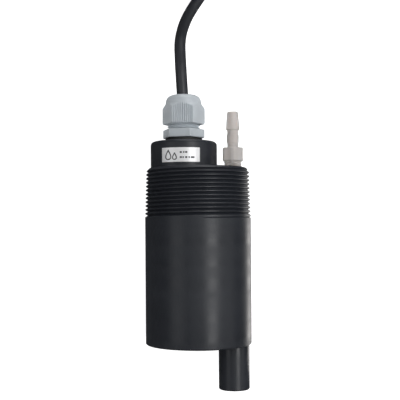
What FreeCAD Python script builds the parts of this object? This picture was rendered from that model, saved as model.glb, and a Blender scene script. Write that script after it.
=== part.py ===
import FreeCAD, Part
import math
import os

from FreeCAD import Vector

# Self-cleaning water quality probe, lying on its side on a flat surface.
# Units are millimetres. +Y runs along the body towards the cable gland, +X points to the hose barb's
# side and +Z points up from the surface. The origin is on the surface, under the middle of the body's
# length with its nozzle and gland. A "station" is a distance along +Y from the flat sensing face.

# Body: a bar of 2 inch nominal pipe size
BODY_DIAMETER = 60.325
BODY_LENGTH = 100.0
BODY_EDGE = 0.6
BODY_TOP_CHAMFER = 1.7

# Taper pipe thread of the 2 inch size on the gland end
PIPE_THREAD_LENGTH = 28.0
PIPE_THREAD_PITCH = 25.4 / 11.5
PIPE_THREAD_DEPTH = 1.6
PIPE_TAPER = 1.0 / 32.0

# The two axes that are offset from the body's own
CAP_X = -7.85
JET_X = 20.15

# Electronics bore, and the plug that carries the optics
BORE_RADIUS = 16.0
HEAD_BORE_RADIUS = 13.0
HEAD_LENGTH = 14.0
HEAD_FLANGE = 4.0
RETAINER_LENGTH = 4.0
FIT_GAP = 0.05

# Cap
CAP_RADIUS = 18.9
CAP_HEIGHT = 15.0
CAP_EDGE = 2.0
CAP_SPIGOT = 12.0
CAP_WALL_TOP = 6.0
CAP_HOLLOW_RADIUS = 12.5

# Label on the cap, as angles from straight up towards +X
LABEL_START = -38.2
LABEL_END = 28.6
LABEL_LOW = 2.4
LABEL_HEIGHT = 7.95
LABEL_THICKNESS = 0.12

# Cable gland of the size with an 18.6 mm thread
GASKET_RADIUS = 10.5
GASKET_THICKNESS = 2.3
GLAND_THREAD_RADIUS = 9.3
GLAND_PITCH = 25.4 / 18.0
GLAND_THREAD_DEPTH = 0.8
GLAND_ENTRY_LENGTH = 10.0
GLAND_FLATS = 21.2
GLAND_HEX_HEIGHT = 4.7
GLAND_HEX_TURN = -12.0
GLAND_HEX_CORNER = 0.4
GLAND_COLLAR = 10.0
GLAND_BORE_RADIUS = 5.2
CLAW_RADIUS = 7.5
CLAW_FINGERS = 10
CLAW_SLOT = 0.8
SEAL_RADIUS = 5.0
SEAL_BORE_RADIUS = 3.7
SEAL_MOUTH_RADIUS = 4.2

# Dome nut
NUT_GAP = 3.1
NUT_FLATS = 20.7
NUT_CORNER = 0.5
NUT_CORNER_RADIUS = 11.95
NUT_HEX_TOP = 11.4
NUT_HEIGHT = 16.65
NUT_DOME_RADIUS = 10.15
NUT_ROUND = 4.4
NUT_HOLE_RADIUS = 5.3
NUT_TURN = -3.0
NUT_RIBS = 12
NUT_RIB_RADIUS = 0.45
NUT_RIB_SPACING = 1.03

# Hose barb with a 1/8 inch taper thread
BARB_THREAD_RADIUS = 5.14
BARB_PITCH = 25.4 / 27.0
BARB_THREAD_DEPTH = 0.6
BARB_ENTRY = 9.0
BARB_SHOWN = 4.1
BARB_FLATS = 11.5
BARB_BORE_RADIUS = 2.0

# Spray nozzle
NOZZLE_RADIUS = 8.8
NOZZLE_LENGTH = 26.0
NOZZLE_SPIGOT_RADIUS = 5.95
NOZZLE_SPIGOT = 11.0
CHANNEL_RADIUS = 2.5
JET_RADIUS = 0.8

# Optics
WINDOW_SPACING = 11.0
WINDOW_RADIUS = 3.5
WINDOW_THICKNESS = 2.0
LED_RADIUS = 2.5
PROBE_TUBE_RADIUS = 2.0
PROBE_TUBE_DROP = 8.0

# Circuit board
BOARD_WIDTH = 26.0
BOARD_START = 24.0
BOARD_END = 86.0
BOARD_THICKNESS = 1.6
BOARD_DROP = 3.0
CONDUCTORS = 5

# Cable, 5 m of it, wound into a hank after the stretch that leaves the gland
CABLE_RADIUS = 3.3
CABLE_PITCH = 6.65
ARC_SHARE = 0.45
HANK_INNER_TURN = 20.0
HANK_COLUMNS = 3
HANK_FULL_ROWS = 4
HANK_TOP_TURNS = 1
HANK_RUN = 99.5
HANK_CENTRE_X = -2.8
HANK_START_Y = 193.1
TIE_WIDTH = 5.0
TIE_THICKNESS = 0.8

BODY_RADIUS = BODY_DIAMETER / 2
AXIS_Z = BODY_RADIUS
CAP_TOP = BODY_LENGTH + CAP_HEIGHT
HEX_START = CAP_TOP + GASKET_THICKNESS
HEX_END = HEX_START + GLAND_HEX_HEIGHT
NUT_START = HEX_END + NUT_GAP
NUT_END = NUT_START + NUT_HEIGHT
FACE_Y = (NOZZLE_LENGTH - NUT_END) / 2
CABLE_START_Y = FACE_Y + HEX_END + 7.4
BOARD_TOP_Z = -BOARD_DROP + BOARD_THICKNESS / 2

# The cable's route from inside the gland to the hank's first turn, chosen by hand
CABLE_ROUTE = [
    Vector(-7.6, CABLE_START_Y, AXIS_Z),
    Vector(-9.3, 99.0, AXIS_Z),
    Vector(-10.3, 124.5, 17.5),
    Vector(3.2, 150.0, 4.7),
    Vector(21.9, 170.8, CABLE_RADIUS + FIT_GAP),
]

ALONG = Vector(0, 1, 0)


def place(x, station, z=0.0):
    """A point at a station, at x and at a height z above the probe's axis."""
    return Vector(x, FACE_Y + station, AXIS_Z + z)


def rod(radius, start, end, x=0.0, z=0.0):
    return Part.makeCylinder(radius, end - start, place(x, start, z), ALONG)


def ring(outer, inner, start, end, x=0.0, z=0.0):
    return rod(outer, start, end, x, z).cut(rod(inner, start, end, x, z))


def turned(outline, x=0.0, angle=360):
    """Solid of revolution about an axis along +Y, from (radius, station) corners."""
    corners = [place(x + radius, station) for radius, station in outline]
    face = Part.Face(Part.makePolygon(corners + corners[:1]))
    return face.revolve(place(x, 0), ALONG, angle)


def block(x_low, x_high, start, end, z_low, z_high):
    corner = place(x_low, start, z_low)
    return Part.makeBox(x_high - x_low, end - start, z_high - z_low, corner)


def hexagon(flats, start, end, x, turn, edge):
    """Hexagonal prism along +Y with rounded corners; turn 0 has a flat facing +Z."""
    corner_radius = flats / math.sqrt(3)
    corners = []
    for step in range(7):
        angle = math.radians(30 + 60 * step + turn)
        offset = Vector(corner_radius * math.sin(angle), 0, corner_radius * math.cos(angle))
        corners.append(place(x, start) + offset)
    prism = Part.Face(Part.makePolygon(corners)).extrude(ALONG * (end - start))
    upright = [e for e in prism.Edges if abs(e.tangentAt(e.FirstParameter).y) > 0.99]
    return prism.makeFillet(edge, upright)


def o_ring(middle_radius, section_radius, station, x, z=0.0):
    return Part.makeTorus(middle_radius, section_radius, place(x, station, z), ALONG)


def thread_groove(crest_radius, start, length, pitch, depth, x, taper=0.0):
    """A 60 degree helical V groove, to cut from a rod or cone; it starts at its larger end."""
    cone = -math.degrees(math.atan(taper))
    helix = Part.makeLongHelix(pitch, length, crest_radius, cone)
    outside = 0.3
    half_width = (depth + outside) * math.tan(math.radians(30))
    corners = [
        Vector(crest_radius - depth, 0, 0),
        Vector(crest_radius + outside, 0, half_width),
        Vector(crest_radius + outside, 0, -half_width),
    ]
    profile = Part.makePolygon(corners + corners[:1])
    groove = Part.Wire(helix.Edges).makePipeShell([profile], True, True)
    groove.rotate(Vector(0, 0, 0), Vector(1, 0, 0), -90)
    groove.translate(place(x, start))
    return groove


def tube(points, radius, name=""):
    """Round tube along straight runs joined by the largest even arcs that the runs allow."""
    edges = []
    radii = []
    reached = points[0]
    for before, corner, after in zip(points, points[1:], points[2:]):
        run_in = (corner - before).Length
        run_out = (after - corner).Length
        heading_in = (corner - before) * (1 / run_in)
        heading_out = (after - corner) * (1 / run_out)
        reach = ARC_SHARE * min(run_in, run_out)
        half_turn = heading_in.getAngle(heading_out) / 2
        radii.append(reach / math.tan(half_turn))
        arc_start = corner - heading_in * reach
        arc_end = corner + heading_out * reach
        inward = (heading_out - heading_in).normalize()
        sagitta = radii[-1] * (1 / math.cos(half_turn) - 1)
        edges.append(Part.LineSegment(reached, arc_start).toShape())
        edges.append(Part.Arc(arc_start, corner + inward * sagitta, arc_end).toShape())
        reached = arc_end
    edges.append(Part.LineSegment(reached, points[-1]).toShape())
    path = Part.Wire(edges)
    circle = Part.Wire(Part.makeCircle(radius, points[0], points[1] - points[0]))
    solid = path.makePipeShell([circle], True, False)
    if name:
        expected = math.pi * radius ** 2 * path.Length
        print(name, "bend radii", [round(value, 1) for value in radii])
        print(name, "volume over section times length", round(solid.Volume / expected, 4))
    return solid


def fused(shapes):
    return shapes[0].multiFuse(shapes[1:]).removeSplitter()


# ---- body, cap and seals ------------------------------------------------------------------------

def housing():
    thread_start = BODY_LENGTH - PIPE_THREAD_LENGTH
    tip_radius = BODY_RADIUS - PIPE_THREAD_LENGTH * PIPE_TAPER
    body = turned([
        (0, 0),
        (BODY_RADIUS - BODY_EDGE, 0),
        (BODY_RADIUS, BODY_EDGE),
        (BODY_RADIUS, thread_start),
        (tip_radius, BODY_LENGTH - BODY_TOP_CHAMFER),
        (tip_radius - BODY_TOP_CHAMFER, BODY_LENGTH),
        (0, BODY_LENGTH),
    ])
    first_turn = thread_start + FIT_GAP
    groove_length = PIPE_THREAD_LENGTH + PIPE_THREAD_PITCH
    body = body.cut(thread_groove(BODY_RADIUS, first_turn, groove_length, PIPE_THREAD_PITCH,
                                  PIPE_THREAD_DEPTH, 0.0, PIPE_TAPER))
    port = turned([
        (0, BODY_LENGTH - BARB_ENTRY - 1),
        (CHANNEL_RADIUS, BODY_LENGTH - BARB_ENTRY - 1),
        (BARB_THREAD_RADIUS - 0.38, BODY_LENGTH - BARB_ENTRY),
        (BARB_THREAD_RADIUS - 0.07, BODY_LENGTH),
        (0, BODY_LENGTH),
    ], JET_X)
    return body.cut([
        rod(BORE_RADIUS, HEAD_LENGTH, BODY_LENGTH, CAP_X),
        rod(HEAD_BORE_RADIUS, 0, HEAD_LENGTH, CAP_X),
        rod(CHANNEL_RADIUS, 0, BODY_LENGTH, JET_X),
        rod(NOZZLE_SPIGOT_RADIUS + FIT_GAP, 0, NOZZLE_SPIGOT + 0.5, JET_X),
        port,
    ])


def cap():
    spigot_radius = BORE_RADIUS - FIT_GAP
    groove_floor = BORE_RADIUS - 2.1
    groove_start = BODY_LENGTH - CAP_SPIGOT + 3
    outline = [
        (0, BODY_LENGTH - CAP_SPIGOT),
        (spigot_radius, BODY_LENGTH - CAP_SPIGOT),
        (spigot_radius, groove_start),
        (groove_floor, groove_start),
        (groove_floor, groove_start + 2.6),
        (spigot_radius, groove_start + 2.6),
        (spigot_radius, BODY_LENGTH),
        (CAP_RADIUS, BODY_LENGTH),
        (CAP_RADIUS, CAP_TOP),
        (0, CAP_TOP),
    ]
    solid = turned(outline, CAP_X)
    rim = [e for e in solid.Edges if abs(e.Length - 2 * math.pi * CAP_RADIUS) < 0.01
           and e.CenterOfMass.y > FACE_Y + CAP_TOP - 0.1]
    solid = solid.makeFillet(CAP_EDGE, rim)
    hollow = rod(CAP_HOLLOW_RADIUS, BODY_LENGTH - CAP_SPIGOT, CAP_TOP - CAP_WALL_TOP, CAP_X)
    entry = rod(GLAND_THREAD_RADIUS + FIT_GAP, CAP_TOP - CAP_WALL_TOP, CAP_TOP, CAP_X)
    return solid.cut([hollow, entry])


def cap_o_ring():
    section = 1.04
    station = BODY_LENGTH - CAP_SPIGOT + 4.3
    return o_ring(BORE_RADIUS - section - 0.01, section, station, CAP_X)


def label():
    """Thin curved plate: a rectangle swept round the cap's axis between the label's two angles."""
    start = BODY_LENGTH + LABEL_LOW
    sheet = turned([
        (CAP_RADIUS, start),
        (CAP_RADIUS + LABEL_THICKNESS, start),
        (CAP_RADIUS + LABEL_THICKNESS, start + LABEL_HEIGHT),
        (CAP_RADIUS, start + LABEL_HEIGHT),
    ], CAP_X, LABEL_END - LABEL_START)
    # the outline starts on +X, and a turn about +Y brings +Z to +X
    sheet.rotate(place(CAP_X, start), ALONG, LABEL_START - 90)
    return sheet


# ---- cable gland --------------------------------------------------------------------------------

def gland_gasket():
    return ring(GASKET_RADIUS, GLAND_THREAD_RADIUS + FIT_GAP, CAP_TOP, HEX_START, CAP_X)


def gland_body():
    entry_start = HEX_START - GLAND_ENTRY_LENGTH
    collar_end = HEX_END + GLAND_COLLAR
    barrel = turned([
        (0, entry_start),
        (GLAND_THREAD_RADIUS - 0.5, entry_start),
        (GLAND_THREAD_RADIUS, entry_start + 0.5),
        (GLAND_THREAD_RADIUS, collar_end - 0.5),
        (GLAND_THREAD_RADIUS - 0.5, collar_end),
        (0, collar_end),
    ], CAP_X)
    groove = thread_groove(GLAND_THREAD_RADIUS, HEX_END + 0.3, GLAND_COLLAR, GLAND_PITCH,
                           GLAND_THREAD_DEPTH, CAP_X)
    barrel = barrel.cut(groove)
    wrench = hexagon(GLAND_FLATS, HEX_START, HEX_END, CAP_X, GLAND_HEX_TURN,
                     GLAND_HEX_CORNER)
    solid = barrel.fuse(wrench)
    bore = rod(GLAND_BORE_RADIUS, entry_start, collar_end, CAP_X)
    pocket = rod(CLAW_RADIUS + 0.1, HEX_END + 4.4, collar_end, CAP_X)
    return solid.cut([bore, pocket])


def clamping_claw():
    start = HEX_END + 4.7
    finger_start = start + 3.5
    solid = turned([
        (SEAL_RADIUS + FIT_GAP, start),
        (CLAW_RADIUS, start),
        (CLAW_RADIUS, start + 7.2),
        (6.0, start + 11.6),
        (SEAL_RADIUS + FIT_GAP, start + 11.6),
    ], CAP_X)
    slots = []
    for step in range(CLAW_FINGERS):
        slot = block(-CLAW_SLOT / 2, CLAW_SLOT / 2, finger_start, start + 13, 4.0, CLAW_RADIUS + 1)
        slot.translate(Vector(CAP_X, 0, 0))
        slot.rotate(place(CAP_X, 0), ALONG, 360.0 / CLAW_FINGERS * step)
        slots.append(slot)
    return solid.cut(slots)


def gland_seal():
    """Sleeve round the cable, a little wider at its mouth for the cable's lean."""
    start = HEX_END + 5.2
    mouth = NUT_END - 1.2
    return turned([
        (SEAL_BORE_RADIUS, start),
        (SEAL_RADIUS, start),
        (SEAL_RADIUS, mouth),
        (SEAL_MOUTH_RADIUS, mouth),
    ], CAP_X)


def nut_ribs():
    """Upright half-round ribs on every other flat of the nut."""
    ribs = []
    for flat in range(3):
        for step in range(NUT_RIBS):
            across = (step - (NUT_RIBS - 1) / 2) * NUT_RIB_SPACING
            rib = rod(NUT_RIB_RADIUS, NUT_START + 0.4, NUT_START + NUT_HEX_TOP - 0.4,
                      CAP_X + across, NUT_FLATS / 2 - 0.1)
            rib.rotate(place(CAP_X, 0), ALONG, 120 * flat + NUT_TURN)
            ribs.append(rib)
    return ribs


def dome_nut():
    hex_top = NUT_START + NUT_HEX_TOP
    wrench = hexagon(NUT_FLATS, NUT_START, hex_top, CAP_X, NUT_TURN, NUT_CORNER)
    wrench = wrench.multiFuse(nut_ribs())
    drop = NUT_CORNER_RADIUS - NUT_DOME_RADIUS
    shoulder = turned([
        (0, NUT_START),
        (NUT_CORNER_RADIUS, NUT_START),
        (NUT_CORNER_RADIUS, hex_top - drop * 1.2),
        (NUT_DOME_RADIUS, hex_top),
        (0, hex_top),
    ], CAP_X)
    dome = rod(NUT_DOME_RADIUS, NUT_START, NUT_END, CAP_X)
    crown = [e for e in dome.Edges if e.CenterOfMass.y > FACE_Y + NUT_END - 0.1 and e.Closed]
    dome = dome.makeFillet(NUT_ROUND, crown)
    solid = wrench.common(shoulder).fuse(dome)
    inside = turned([
        (0, NUT_START),
        (GLAND_THREAD_RADIUS + 0.1, NUT_START),
        (GLAND_THREAD_RADIUS + 0.1, NUT_START + 8.6),
        (8.2, NUT_START + 9.4),
        (6.4, NUT_END - 2.9),
        (NUT_HOLE_RADIUS, NUT_END - 2.9),
        (NUT_HOLE_RADIUS, NUT_END),
        (0, NUT_END),
    ], CAP_X)
    return solid.cut(inside)


# ---- cleaning channel ---------------------------------------------------------------------------

def hose_barb():
    hex_start = BODY_LENGTH + BARB_SHOWN
    hex_end = hex_start + 7.6
    entry = BODY_LENGTH - BARB_ENTRY
    taper_drop = (BARB_SHOWN + BARB_ENTRY) * PIPE_TAPER
    thread = turned([
        (0, entry),
        (BARB_THREAD_RADIUS - taper_drop, entry),
        (BARB_THREAD_RADIUS, hex_start),
        (0, hex_start),
    ], JET_X)
    # the thread's large end is under the hexagon, so its groove is cut back from there
    groove = thread_groove(BARB_THREAD_RADIUS, 0, BARB_SHOWN + 1, BARB_PITCH, BARB_THREAD_DEPTH, JET_X,
                           PIPE_TAPER)
    groove.rotate(place(JET_X, 0), Vector(0, 0, 1), 180)
    groove.translate(Vector(0, hex_start - BARB_PITCH / 2, 0))
    thread = thread.cut(groove)
    wrench = hexagon(BARB_FLATS, hex_start, hex_end, JET_X, 26.0, 0.9)
    rim = [e for e in wrench.Edges if e.CenterOfMass.y > FACE_Y + hex_end - 0.01]
    wrench = wrench.makeFillet(0.7, rim)
    stem = turned([
        (0, hex_end - 1),
        (3.1, hex_end - 1),
        (3.1, hex_end + 2.6),
        (3.42, hex_end + 2.9),
        (3.42, hex_end + 7.4),
        (3.15, hex_end + 7.7),
        (3.15, hex_end + 10.25),
        (3.87, hex_end + 10.35),
        (3.87, hex_end + 10.75),
        (3.2, hex_end + 19.9),
        (2.7, hex_end + 20.5),
        (0, hex_end + 20.5),
    ], JET_X)
    solid = fused([thread, wrench, stem])
    return solid.cut(rod(BARB_BORE_RADIUS, entry, hex_end + 21, JET_X))


def spray_nozzle():
    groove_floor = 4.7
    body = turned([
        (0, -NOZZLE_LENGTH),
        (NOZZLE_RADIUS - 0.5, -NOZZLE_LENGTH),
        (NOZZLE_RADIUS, 0.5 - NOZZLE_LENGTH),
        (NOZZLE_RADIUS, 0),
        (NOZZLE_SPIGOT_RADIUS, 0),
        (NOZZLE_SPIGOT_RADIUS, 5.0),
        (groove_floor, 5.0),
        (groove_floor, 7.0),
        (NOZZLE_SPIGOT_RADIUS, 7.0),
        (NOZZLE_SPIGOT_RADIUS, NOZZLE_SPIGOT),
        (0, NOZZLE_SPIGOT),
    ], JET_X)
    feed = rod(CHANNEL_RADIUS, -14, NOZZLE_SPIGOT, JET_X)
    aim = place(CAP_X, 0) - place(JET_X, -12)
    jet = Part.makeCylinder(JET_RADIUS, 14, place(JET_X, -12), aim)
    return body.cut([feed, jet])


def nozzle_o_ring():
    section = 0.62
    return o_ring(NOZZLE_SPIGOT_RADIUS + FIT_GAP - section - 0.01, section, 6.0, JET_X)


# ---- optics -------------------------------------------------------------------------------------

def window_x(side):
    return CAP_X + side * WINDOW_SPACING / 2


def optics_block():
    head_radius = HEAD_BORE_RADIUS - FIT_GAP
    flange_end = HEAD_LENGTH + HEAD_FLANGE
    solid = turned([
        (0, 0),
        (head_radius, 0),
        (head_radius, 5.0),
        (head_radius - 1.9, 5.0),
        (head_radius - 1.9, 7.4),
        (head_radius, 7.4),
        (head_radius, HEAD_LENGTH),
        (BORE_RADIUS - 0.5, HEAD_LENGTH),
        (BORE_RADIUS - 0.5, flange_end),
        (0, flange_end),
    ], CAP_X)
    cuts = [rod(PROBE_TUBE_RADIUS + FIT_GAP, 0, flange_end, CAP_X, -PROBE_TUBE_DROP)]
    for side in (-1, 1):
        cuts.append(rod(WINDOW_RADIUS + 0.1, 0, WINDOW_THICKNESS + 0.7, window_x(side)))
        cuts.append(rod(LED_RADIUS + 0.2, 0, flange_end, window_x(side)))
    return solid.cut(cuts)


def head_o_ring():
    section = 0.93
    return o_ring(HEAD_BORE_RADIUS - section - 0.01, section, 6.2, CAP_X)


def retaining_ring():
    start = HEAD_LENGTH + HEAD_FLANGE
    solid = ring(BORE_RADIUS - FIT_GAP, 12.0, start, start + RETAINER_LENGTH, CAP_X)
    slot = block(CAP_X - 17, CAP_X + 17, start + 2, start + RETAINER_LENGTH, -1.2, 1.2)
    return solid.cut(slot)


def window(side):
    return rod(WINDOW_RADIUS, 0, WINDOW_THICKNESS, window_x(side))


def window_seals():
    return Part.makeCompound([
        o_ring(3.15, 0.34, WINDOW_THICKNESS + 0.35, window_x(side)) for side in (-1, 1)
    ])


def round_diode(side, domed):
    """A 5 mm leaded diode: its front towards the window, two leads towards the board."""
    x = window_x(side)
    front = WINDOW_THICKNESS + 1.2
    shoulder = front + LED_RADIUS if domed else front
    shapes = [rod(LED_RADIUS, shoulder, front + 8.6, x)]
    if domed:
        shapes.append(Part.makeSphere(LED_RADIUS, place(x, shoulder)))
    for lead in (-1, 1):
        shapes.append(rod(0.25, front + 8.5, 19.0, x + lead * 1.27))
    return fused(shapes)


def temperature_probe():
    z = -PROBE_TUBE_DROP
    outside = rod(PROBE_TUBE_RADIUS, -1.5, 20, CAP_X, z)
    tip = [e for e in outside.Edges if e.CenterOfMass.y < FACE_Y - 1.4 and e.Closed]
    outside = outside.makeFillet(0.8, tip)
    return outside.cut(rod(PROBE_TUBE_RADIUS - 0.3, -0.8, 20, CAP_X, z))


# ---- electronics --------------------------------------------------------------------------------

def main_board():
    half = BOARD_WIDTH / 2
    underside = BOARD_TOP_Z - BOARD_THICKNESS
    return block(CAP_X - half, CAP_X + half, BOARD_START, BOARD_END, underside, BOARD_TOP_Z)


def board_rails():
    half = BOARD_WIDTH / 2
    underside = BOARD_TOP_Z - BOARD_THICKNESS
    rails = []
    for side in (-1, 1):
        near = CAP_X + side * (half - 1.4)
        far = CAP_X + side * (half + 1.7)
        rail = block(min(near, far), max(near, far), BOARD_START, BOARD_END, underside - 1.4,
                     BOARD_TOP_Z + 1.6)
        slot = block(CAP_X - half - 0.05, CAP_X + half + 0.05, BOARD_START, BOARD_END, underside - 0.03,
                     BOARD_TOP_Z + 0.03)
        rails.append(rail.cut(slot))
    return Part.makeCompound(rails)


def board_chips():
    """Flat packages on the board, as (x, station, width, length, height) from the board's middle line."""
    packages = [(0, 42, 10, 10, 1.4), (-6, 31, 5, 6, 1.6), (6, 31, 5, 6, 1.6), (5, 57, 8, 5, 2.0),
                (-7, 55, 4, 8, 2.4), (-6, 67, 6, 5, 1.4)]
    return Part.makeCompound([
        block(CAP_X + x - w / 2, CAP_X + x + w / 2, s - l / 2, s + l / 2, BOARD_TOP_Z, BOARD_TOP_Z + h)
        for x, s, w, l, h in packages
    ])


def board_capacitors():
    cans = []
    for x, station in ((1.5, 66.5), (8.0, 68.0)):
        cans.append(Part.makeCylinder(2.6, 7.0, place(CAP_X + x, station, BOARD_TOP_Z)))
    return Part.makeCompound(cans)


def conductor_x(index):
    return CAP_X + (index - (CONDUCTORS - 1) / 2) * 3.8


def terminal_block():
    solid = block(CAP_X - 10, CAP_X + 10, 76, 85, BOARD_TOP_Z, BOARD_TOP_Z + 8)
    holes = []
    for index in range(CONDUCTORS):
        x = conductor_x(index)
        holes.append(block(x - 1.5, x + 1.5, 78.5, 86, BOARD_TOP_Z + 1.6, BOARD_TOP_Z + 4.4))
        holes.append(Part.makeCylinder(1.4, 6.0, place(x, 80.5, BOARD_TOP_Z + 3)))
    return solid.cut(holes)


def terminal_screws():
    screws = []
    for index in range(CONDUCTORS):
        x = conductor_x(index)
        screw = Part.makeCylinder(1.35, 2.2, place(x, 80.5, BOARD_TOP_Z + 4.7))
        slot = block(x - 1.5, x + 1.5, 80.2, 80.8, BOARD_TOP_Z + 6.3, BOARD_TOP_Z + 7)
        screws.append(screw.cut(slot))
    return Part.makeCompound(screws)


def conductors():
    """Five insulated wires from the cable's cut end, through the gland, fanned to the terminals."""
    wires = []
    for index in range(CONDUCTORS):
        angle = 2 * math.pi * index / CONDUCTORS
        x_top = CAP_X + 1.7 * math.cos(angle)
        z_top = 1.7 * math.sin(angle)
        end_z = BOARD_TOP_Z + 3
        wires.append(tube([
            place(x_top, HEX_END + 7.3, z_top),
            place(x_top, CAP_TOP - 12, z_top),
            place(conductor_x(index), 91, end_z),
            place(conductor_x(index), 79.5, end_z),
        ], 0.7))
    return Part.makeCompound(wires)


def sensor_wires():
    """Two wires from each diode to the board's top and two from the steel tube to its underside."""
    wires = []
    for side in (-1, 1):
        for lead in (-1, 1):
            x = window_x(side) + lead * 1.27
            wires.append(tube([place(x, 19.05, 0), place(x, 22.6, 0), place(x, 26.4, BOARD_TOP_Z + 0.4),
                               place(x, 28.0, BOARD_TOP_Z + 0.4)], 0.35))
    underside = BOARD_TOP_Z - BOARD_THICKNESS
    for lead in (-1, 1):
        x = CAP_X + lead * 0.6
        wires.append(tube([place(x, 12.0, -PROBE_TUBE_DROP), place(x, 22.0, -PROBE_TUBE_DROP),
                           place(x, 28.0, underside - 0.4), place(x, 31.0, underside - 0.4)], 0.35))
    return Part.makeCompound(wires)


# ---- cable and its hank -------------------------------------------------------------------------

def racetrack(turn_radius, z_low, z_high):
    """Solid with two straight sides along +Y and two half-round ends."""
    near_y = HANK_START_Y
    far_y = HANK_START_Y + HANK_RUN
    left = HANK_CENTRE_X - turn_radius
    right = HANK_CENTRE_X + turn_radius
    corners = [Vector(left, far_y, z_low), Vector(left, near_y, z_low),
               Vector(right, near_y, z_low), Vector(right, far_y, z_low)]
    near_end = Vector(HANK_CENTRE_X, near_y - turn_radius, z_low)
    far_end = Vector(HANK_CENTRE_X, far_y + turn_radius, z_low)
    edges = [
        Part.LineSegment(corners[0], corners[1]).toShape(),
        Part.Arc(corners[1], near_end, corners[2]).toShape(),
        Part.LineSegment(corners[2], corners[3]).toShape(),
        Part.Arc(corners[3], far_end, corners[0]).toShape(),
    ]
    return Part.Face(Part.Wire(edges)).extrude(Vector(0, 0, z_high - z_low))


def hank_outer_turn():
    return HANK_INNER_TURN + (HANK_COLUMNS - 1) * CABLE_PITCH


def tie_places():
    """Middle of each tied side: the tie goes round one side of the hank."""
    middle_turn = HANK_INNER_TURN + (HANK_COLUMNS - 1) * CABLE_PITCH / 2
    middle_y = HANK_START_Y + HANK_RUN / 2
    return [(HANK_CENTRE_X + side * middle_turn, middle_y) for side in (-1, 1)]


def hank_ties():
    half = (HANK_COLUMNS * CABLE_PITCH) / 2 + 0.2
    top = (HANK_FULL_ROWS + 1) * CABLE_PITCH + 0.4
    ties = []
    for x, y in tie_places():
        low = Vector(x - half - TIE_THICKNESS, y - TIE_WIDTH / 2, 0)
        outside = Part.makeBox(2 * (half + TIE_THICKNESS), TIE_WIDTH, top + TIE_THICKNESS, low)
        opening = Part.makeBox(2 * half, TIE_WIDTH, top - TIE_THICKNESS,
                               Vector(x - half, y - TIE_WIDTH / 2, TIE_THICKNESS))
        buckle = Part.makeBox(TIE_WIDTH, TIE_WIDTH + 2, 3.5,
                              Vector(x - TIE_WIDTH / 2, y - TIE_WIDTH / 2 - 1, top + TIE_THICKNESS / 2))
        ties.append(outside.cut(opening).fuse(buckle).removeSplitter())
    return Part.makeCompound(ties)


def cable_hank():
    """Full rows of turns, and a top row of outer turns that leaves room for the cable's end."""
    outer = hank_outer_turn() + CABLE_RADIUS
    inner = HANK_INNER_TURN - CABLE_RADIUS
    full_top = HANK_FULL_ROWS * CABLE_PITCH + FIT_GAP
    top = full_top + CABLE_PITCH
    solid = racetrack(outer, 0, top).cut(racetrack(inner, -1, top + 1))
    solid = solid.cut(racetrack(outer - HANK_TOP_TURNS * CABLE_PITCH, full_top, top + 1))
    half = (HANK_COLUMNS * CABLE_PITCH) / 2 + 1
    for x, y in tie_places():
        groove = Part.makeBox(2 * half, TIE_WIDTH + 0.2, TIE_THICKNESS + FIT_GAP,
                              Vector(x - half, y - TIE_WIDTH / 2 - 0.1, 0))
        solid = solid.cut(groove)
    return solid


def lead_paths():
    """Routes of the stripped conductors, fanned out on top of the hank's inner turn."""
    wire_z = HANK_FULL_ROWS * CABLE_PITCH + 1.0
    x = HANK_CENTRE_X + hank_outer_turn() - HANK_TOP_TURNS * CABLE_PITCH - 0.6
    start_y = HANK_START_Y + HANK_RUN / 2 + 6
    paths = []
    for index in range(4):
        spread = (index - 1.5) * 1.35
        paths.append([
            Vector(x + spread * 0.9, start_y, wire_z),
            Vector(x + spread * 0.95, start_y + 14, wire_z),
            Vector(x + spread * 1.4 - 0.8, start_y + 28 + index, wire_z),
        ])
    return paths


def lead_wires():
    return Part.makeCompound([tube(path, 0.55) for path in lead_paths()])


def ferrules():
    sleeves = []
    for path in lead_paths():
        heading = (path[2] - path[1]).normalize()
        collar = Part.makeCylinder(0.75, 3.0, path[2] + heading * 0.02, heading)
        pin = Part.makeCylinder(0.45, 8.0, path[2] + heading * 0.02, heading)
        sleeves.append(collar.fuse(pin).removeSplitter())
    return Part.makeCompound(sleeves)


NODES = {
    "housing": housing,
    "cap": cap,
    "cap_o_ring": cap_o_ring,
    "label": label,
    "gland_gasket": gland_gasket,
    "gland_body": gland_body,
    "clamping_claw": clamping_claw,
    "gland_seal": gland_seal,
    "dome_nut": dome_nut,
    "hose_barb": hose_barb,
    "spray_nozzle": spray_nozzle,
    "nozzle_o_ring": nozzle_o_ring,
    "optics_block": optics_block,
    "head_o_ring": head_o_ring,
    "retaining_ring": retaining_ring,
    "emitter_window": lambda: window(-1),
    "detector_window": lambda: window(1),
    "window_seals": window_seals,
    "ir_emitter": lambda: round_diode(-1, True),
    "photodiode": lambda: round_diode(1, False),
    "temperature_probe": temperature_probe,
    "main_board": main_board,
    "board_rails": board_rails,
    "board_chips": board_chips,
    "board_capacitors": board_capacitors,
    "terminal_block": terminal_block,
    "terminal_screws": terminal_screws,
    "conductors": conductors,
    "sensor_wires": sensor_wires,
    "cable": lambda: tube(CABLE_ROUTE, CABLE_RADIUS, "cable"),
    "cable_hank": cable_hank,
    "hank_ties": hank_ties,
    "lead_wires": lead_wires,
    "ferrules": ferrules,
}

os.makedirs("parts", exist_ok=True)
for node, make in NODES.items():
    shape = make()
    print(node, "valid", shape.isValid(), "solids", len(shape.Solids), "volume", round(shape.Volume, 1))
    shape.exportStep("parts/" + node + ".step")
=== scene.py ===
"""Looks of the water quality probe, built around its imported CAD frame. Units are metres."""
import math

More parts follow.
